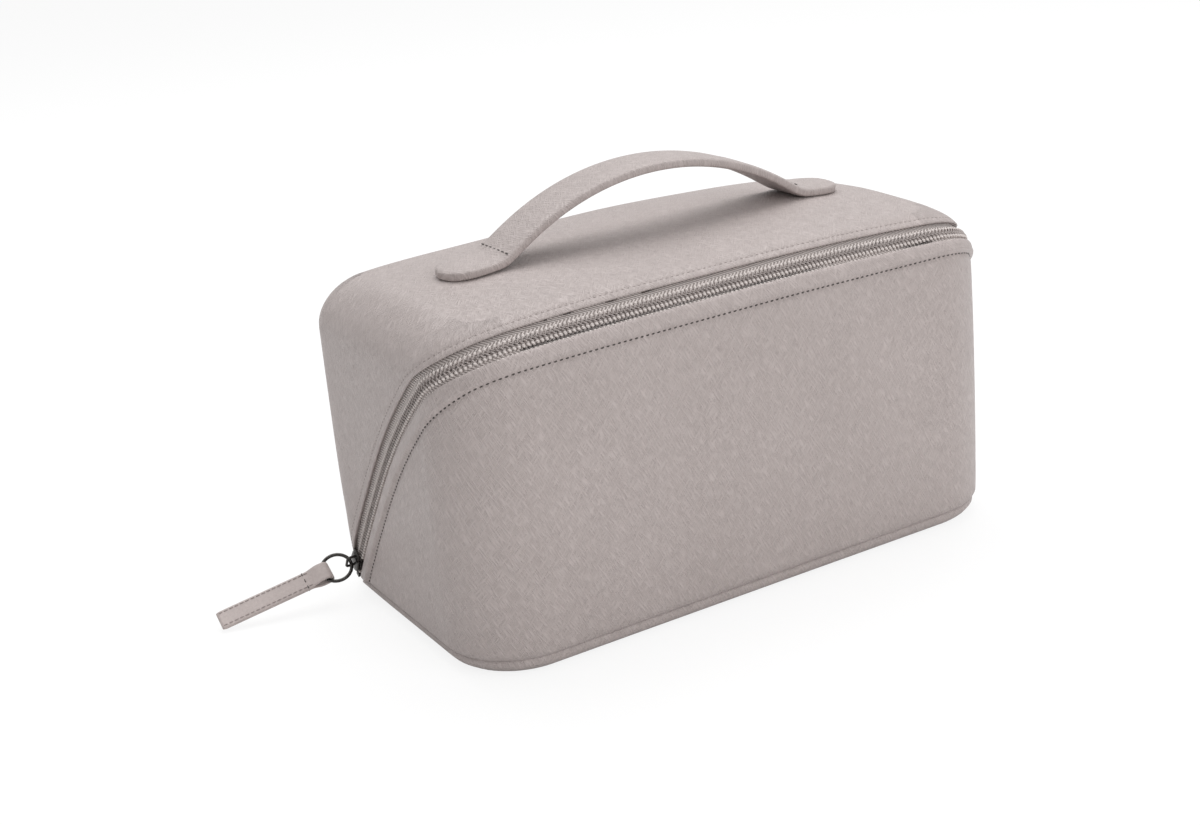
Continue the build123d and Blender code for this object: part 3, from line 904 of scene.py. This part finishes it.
def strap_along(name, line, sides, half_width_at, thickness_at, material, bow=0.0):
    """A flat strap with soft edges along a line: sides gives its width direction."""
    points = np.array(line)
    along = directions(points)
    sides = np.array(sides, float)
    upright = np.cross(along, sides)
    reach = way_along(points)
    turn = np.linspace(0, 2 * np.pi, 36, endpoint=False)
    wide = np.sign(np.cos(turn)) * np.abs(np.cos(turn)) ** 0.22
    high = np.sign(np.sin(turn)) * np.abs(np.sin(turn)) ** 0.5
    body = bmesh.new()
    grain = body.loops.layers.uv.new("grain")
    rings = []
    for k, place in enumerate(points):
        half = half_width_at(reach[k], reach[-1])
        thick = thickness_at(reach[k], reach[-1]) / 2
        lift = bow * np.clip(high, 0, 1) * (1 - wide**2)
        spots = place + sides * (half * wide)[:, None] + upright[k] * (thick * high + lift)[:, None]
        rings.append([body.verts.new(spot) for spot in spots])
    for k in range(len(rings) - 1):
        for n in range(len(turn)):
            nxt = (n + 1) % len(turn)
            face = body.faces.new((rings[k][n], rings[k][nxt], rings[k + 1][nxt], rings[k + 1][n]))
            for loop in face.loops:
                ring_number = k if loop.vert in (rings[k][n], rings[k][nxt]) else k + 1
                number = n if loop.vert in (rings[k][n], rings[k + 1][n]) else nxt
                width = half_width_at(reach[ring_number], reach[-1])
                loop[grain].uv = (reach[ring_number], wide[number] * width + high[number] * mm)
    body.faces.new(rings[0])
    body.faces.new(list(reversed(rings[-1])))
    bmesh.ops.recalc_face_normals(body, faces=body.faces)
    return finish_mesh(body, name, material)


arch_radius = (handle_foot**2 + handle_rise**2) / (2 * handle_rise)
arch_centre = eaves_height + crown + handle_rise - arch_radius
handle_line = []
for x in np.linspace(-handle_half, handle_half, 150):
    tab_top = np.array([[x, 0.0, eaves_height + crown_rise(x, 0.0)]])
    tab = (tab_top + settle(tab_top))[0, 2] + handle_thickness / 2
    arch = arch_centre + math.sqrt((arch_radius + handle_thickness / 2) ** 2 - x**2)
    handle_line.append((x, handle_middle, (tab + arch + math.sqrt((tab - arch) ** 2 + handle_bend**2)) / 2))


def handle_width_at(reach, whole_reach):
    end = min(reach, whole_reach - reach)
    left = max(handle_half_width - end, 0)
    return max(math.sqrt(max(handle_half_width**2 - left**2, 0)), 0.4 * mm)


def handle_thickness_at(reach, whole_reach):
    end = min(reach, whole_reach - reach)
    return handle_thickness * (0.55 + 0.45 * min(end / (3 * mm), 1))


handle = strap_along("handle_cover", handle_line, (0, 1, 0), handle_width_at, handle_thickness_at,
                     shell_leather, bow=0.5 * mm)


def handle_stitch_line(x):
    """The short row of stitches across the strap where its arch begins."""
    heights = np.array(handle_line)
    here = np.interp(x, heights[:, 0], heights[:, 2])
    before, after = (np.interp(x + step, heights[:, 0], heights[:, 2]) for step in (-mm, mm))
    out = np.array([before - after, 0, 2 * mm])
    out /= np.linalg.norm(out)
    across = handle_middle + np.linspace(-11 * mm, 11 * mm, 23)
    points = np.array([(x, y, here) + out * (handle_thickness / 2 + 0.35 * mm) for y in across])
    return points, np.tile(out, (len(points), 1)), across


handle_stitches = [
    row(f"handle_stitches_{side}", stitch_tree, handle_stitch_line(x), 3.2 * mm,
        2.6 * mm, 0.7 * mm, 0.5 * mm, dark_thread)
    for side, x in (("left", -handle_stitch_x), ("right", handle_stitch_x))
]


# Slider, ring and pull strap

ring_seat = Vector(joint_named("ring_swing")["pos_m"])
strap_pivot = Vector(joint_named("pull_swing")["pos_m"])
to_lid = Vector(joint_named("ring_swing")["axis"])
pull_out = (strap_pivot - ring_seat).normalized()
ring_centre = (strap_pivot + ring_seat) / 2
strap_up = pull_out.cross(to_lid).normalized()
up_zip = Vector((0, -to_lid.z, to_lid.y))
slider_spot = Vector((-half_length, ring_seat.y, ring_seat.z))

strap_length = 58 * mm
strap_half_width = 4.5 * mm
leather_sheet = 1.15 * mm
loop_gap = 1.8 * mm
ring_inside = 6.2 * mm
loop_end = 8.1 * mm
neck_end = 14.1 * mm


def strap_place(out, rise):
    return ring_centre + pull_out * out + strap_up * rise


def strap_centreline():
    """One leather strip, from the tail to the ring, round it and back under itself."""
    bight = math.sqrt(ring_inside**2 - strap_half_width**2) - 0.3 * mm
    middle = loop_gap + leather_sheet / 2
    near = bight + loop_gap
    flat = leather_sheet / 2 + 0.02 * mm
    upper = [(strap_length - k * 1.5 * mm, flat) for k in range(int((strap_length - neck_end) / (1.5 * mm)))]
    for share in np.linspace(0, 1, 9):
        ease = share * share * (3 - 2 * share)
        upper.append((neck_end + (loop_end - neck_end) * share, flat + (middle - flat) * ease))
    for share in np.linspace(0.2, 1, 5):
        upper.append((loop_end + (near - loop_end) * share, middle))
    turn = [(near - middle * math.sin(a), middle * math.cos(a)) for a in np.linspace(0.2, math.pi / 2, 8)]
    half = upper + turn
    return half + [(out, -rise) for out, rise in reversed(half[:-1])]


def strap_width_at(reach, whole_reach):
    """The strap narrows a little at its cut ends."""
    end = min(reach, whole_reach - reach)
    return strap_half_width - 0.5 * mm * max(0, 1 - end / (1.2 * mm))


pull_strip = strap_along(
    "pull_strap_leather",
    [strap_place(out, rise) for out, rise in strap_centreline()],
    to_lid,
    strap_width_at,
    lambda reach, whole_reach: leather_sheet,
    strap_leather,
)


def strap_row(name, start, end, side, finish):
    """Stitches on the strap's upper face, from one place to another."""
    spots = np.linspace(0, 1, 24)
    places = [
        strap_place(start[0] + (end[0] - start[0]) * s, side * (leather_sheet + 0.12 * mm))
        + to_lid * (start[1] + (end[1] - start[1]) * s)
        for s in spots
    ]
    normals = np.tile(np.array(strap_up * side), (len(spots), 1))
    line = (np.array(places), normals, spots)
    return row(name, stitch_tree, line, 2.6 * mm, 2.1 * mm, 0.5 * mm, 0.4 * mm, finish)


tail = strap_length - 2 * mm
pull_rows = []
for label, side in (("upper", 1), ("under", -1)):
    for edge in (-1, 1):
        across = edge * 3.4 * mm
        pull_rows.append(strap_row(f"pull_stitches_{label}_{edge + 1}",
                                   (neck_end, across), (tail, across), side, tonal_thread))
    bar = neck_end + 1.5 * mm
    pull_rows.append(strap_row(f"pull_bar_{label}", (bar, -3.6 * mm), (bar, 3.6 * mm), side, dark_thread))


def slider_place(up, across, out):
    return slider_spot + up_zip * up + to_lid * across + Vector((-1, 0, 0)) * out


def skin_rings(body, rings):
    """Faces between neighbouring rings of points, and a cap at each end."""
    for under, over in zip(rings, rings[1:]):
        for k in range(len(under)):
            nxt = (k + 1) % len(under)
            body.faces.new((under[k], under[nxt], over[nxt], over[k]))
    body.faces.new(list(reversed(rings[0])))
    body.faces.new(rings[-1])


def slider_block(body, low, high, up, across):
    """A square block of the slider between two levels: up and across are its least and most."""
    corners = [(up[0], across[0]), (up[1], across[0]), (up[1], across[1]), (up[0], across[1])]
    skin_rings(body, [[body.verts.new(slider_place(u, w, level)) for u, w in corners]
                      for level in (low, high)])


def slider_plate(body, low, high, taper):
    """One plate of the slider: narrow at its tail, round at its shoulders."""
    outline = []
    for angle in np.linspace(0, 2 * math.pi, 40, endpoint=False):
        up = 6.0 * math.copysign(abs(math.cos(angle)) ** 0.75, math.cos(angle))
        width = 4.2 - taper * (up + 6.0) / 12.0
        outline.append((up * mm, width * mm * math.copysign(abs(math.sin(angle)) ** 0.6, math.sin(angle))))
    levels = ((low, 0.9), (low + 0.25 * mm, 1.0), (high - 0.35 * mm, 1.0), (high, 0.86))
    skin_rings(body, [[body.verts.new(slider_place(u * shrink, v * shrink, level)) for u, v in outline]
                      for level, shrink in levels])


slider = bmesh.new()
slider_plate(slider, 0.2 * mm, 1.4 * mm, 1.0)
slider_plate(slider, -3.7 * mm, -2.5 * mm, 1.0)
for side_wall in (-3.55 * mm, 3.55 * mm):
    slider_block(slider, -1.05 * mm, 0.3 * mm, (-3.6 * mm, 3.6 * mm),
                 (side_wall - 0.6 * mm, side_wall + 0.6 * mm))
slider_block(slider, -2.6 * mm, 0.3 * mm, (-6.0 * mm, -3.0 * mm), (-0.3 * mm, 0.3 * mm))
bmesh.ops.recalc_face_normals(slider, faces=slider.faces)
slider_shell = finish_mesh(slider, "slider_shell", metal)
soften = slider_shell.modifiers.new("soft_edges", "BEVEL")
soften.width = 0.15 * mm
soften.segments = 2
soften.limit_method = "ANGLE"

for name in ("slider_bail", "pull_ring", "base_zip_stops", "lid_zip_stop"):
    mesh = frame["nodes"][name].data
    mesh.materials.clear()
    mesh.materials.append(metal)

# Which body each piece moves with, and which CAD nodes it stands for
for piece, body, stands_for, slot in (
    (front_leather, "base", ("front_panel", "lip_band", "base_foam"), "leather"),
    (bottom_leather, "base", ("bottom_panel",), "leather"),
    (base_lining, "base", ("base_lining", "base_board"), "lining"),
    (base_tape, "base", ("base_zip_tape",), "zip_tape"),
    (base_coil, "base", ("base_coil",), "zip_coil"),
    (base_beads, "base", (), "thread"),
    (tape_stitches, "base", (), "thread"),
    (front_stitches, "base", ("front_stitching",), "thread"),
    (end_tabs, "base", ("zip_end_tabs",), "zip_tape"),
    (lid_leather, "lid", ("lid_skin", "lid_foam"), "leather"),
    (lid_lining, "lid", ("lid_lining", "handle_backing"), "lining"),
    (lid_tape, "lid", ("lid_zip_tape",), "zip_tape"),
    (lid_coil, "lid", ("lid_coil",), "zip_coil"),
    (lid_beads, "lid", (), "thread"),
    (lid_stitches, "lid", ("lid_stitching",), "thread"),
    (handle, "lid", ("handle_strap", "handle_core"), "leather"),
    (handle_stitches[0], "lid", ("handle_stitching",), "thread"),
    (handle_stitches[1], "lid", (), "thread"),
    (slider_shell, "slider", ("slider_body",), "gunmetal"),
    (pull_strip, "pull", ("pull_strap", "pull_core"), "leather"),
    *((piece, "pull", ("pull_stitching",), "thread") for piece in pull_rows),
):
    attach(piece, body)
    if stands_for:
        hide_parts(*stands_for)

fold_start = (0, half_depth - fold_bend_start, 0)
fold_end = (0, half_depth - fold_bend_end, 0)
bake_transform(fold_leather, "base", "lid", start=fold_start, end=fold_end)
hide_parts("hinge_fold")

# Floor, light and camera

floor_gap = 0.2 * mm


def lit_floor():
    """A pale floor that keeps the shadow but reads as a white background to the camera."""
    mesh = bpy.data.meshes.new("floor")
    reach = 6.0
    corners = [(-reach, -reach, 0), (reach, -reach, 0), (reach, reach, 0), (-reach, reach, 0)]
    mesh.from_pydata(corners, [], [(0, 1, 2, 3)])
    material, tree, shader = new_material("pale_floor")
    join = tree.links.new
    shader.inputs["Base Color"].default_value = (0.86, 0.86, 0.86, 1)
    shader.inputs["Roughness"].default_value = 0.9
    shader.inputs["Specular IOR Level"].default_value = 0.1
    glow = node(tree, "ShaderNodeEmission", {"Color": (1, 1, 1, 1), "Strength": 1.06})
    ray = node(tree, "ShaderNodeLightPath")
    mix = node(tree, "ShaderNodeMixShader")
    amount = math_node(tree, "MULTIPLY", ray.outputs["Is Camera Ray"], 0.8)
    join(amount, mix.inputs["Fac"])
    join(shader.outputs["BSDF"], mix.inputs[1])
    join(glow.outputs["Emission"], mix.inputs[2])
    join(mix.outputs["Shader"], tree.nodes["Material Output"].inputs["Surface"])
    mesh.materials.append(material)
    floor = in_scene("floor", mesh)
    floor.location.z = floor_level - floor_gap


def white_world():
    """Even grey light all round, seen as white where the camera looks past the floor."""
    world = bpy.data.worlds.new("studio")
    bpy.context.scene.world = world
    world.use_nodes = True
    tree = world.node_tree
    light = tree.nodes["Background"]
    join = tree.links.new
    light.inputs["Color"].default_value = (1, 1, 1, 1)
    light.inputs["Strength"].default_value = 0.56
    seen = node(tree, "ShaderNodeBackground", {"Color": (1, 1, 1, 1), "Strength": 1.0})
    ray = node(tree, "ShaderNodeLightPath")
    direct = math_node(tree, "MAXIMUM", ray.outputs["Is Camera Ray"], ray.outputs["Is Transmission Ray"])
    mix = node(tree, "ShaderNodeMixShader")
    join(direct, mix.inputs["Fac"])
    join(light.outputs["Background"], mix.inputs[1])
    join(seen.outputs["Background"], mix.inputs[2])
    join(mix.outputs["Shader"], tree.nodes["World Output"].inputs["Surface"])


def softbox(name, place, aim, size, power):
    light = bpy.data.lights.new(name, "AREA")
    light.shape = "RECTANGLE"
    light.size, light.size_y = size
    light.energy = power
    lamp = in_scene(name, light)
    lamp.location = place
    lamp.rotation_euler = (Vector(aim) - Vector(place)).to_track_quat("-Z", "Y").to_euler()


def photo_camera():
    """The photograph's view: from above the left front corner, rolled a little."""
    turn, height, roll = (math.radians(a) for a in (view_turn, view_height, view_roll))
    back = Vector((math.sin(turn) * math.cos(height), -math.cos(turn) * math.cos(height), math.sin(height)))
    right = (-back).cross(Vector((0, 0, 1))).normalized()
    up = right.cross(-back)
    rolled_right = right * math.cos(roll) + up * math.sin(roll)
    rolled_up = up * math.cos(roll) - right * math.sin(roll)
    lens = bpy.data.cameras.new("photo_camera")
    lens.sensor_width = 36
    lens.lens = view_lens
    camera = in_scene("photo_camera", lens)
    place = back * view_distance - rolled_right * view_offset[0] - rolled_up * view_offset[1]
    facing = Matrix((rolled_right, rolled_up, back)).transposed().to_4x4()
    camera.matrix_world = Matrix.Translation(place) @ facing
    bpy.context.scene.camera = camera


view_turn = -29.02
view_height = 20.18
view_roll = -5.49
view_distance = 0.8861
view_offset = (0.03532, -0.06237)
view_lens = 55.61

lit_floor()
white_world()
softbox("overhead", (0.25, 0.55, 1.5), (0, 0, 0.1), (1.6, 1.2), 19)
softbox("front_fill", (0.35, -1.6, 0.9), (0, 0, 0.08), (1.2, 1.0), 10)
photo_camera()
bpy.context.scene.view_settings.view_transform = "Standard"
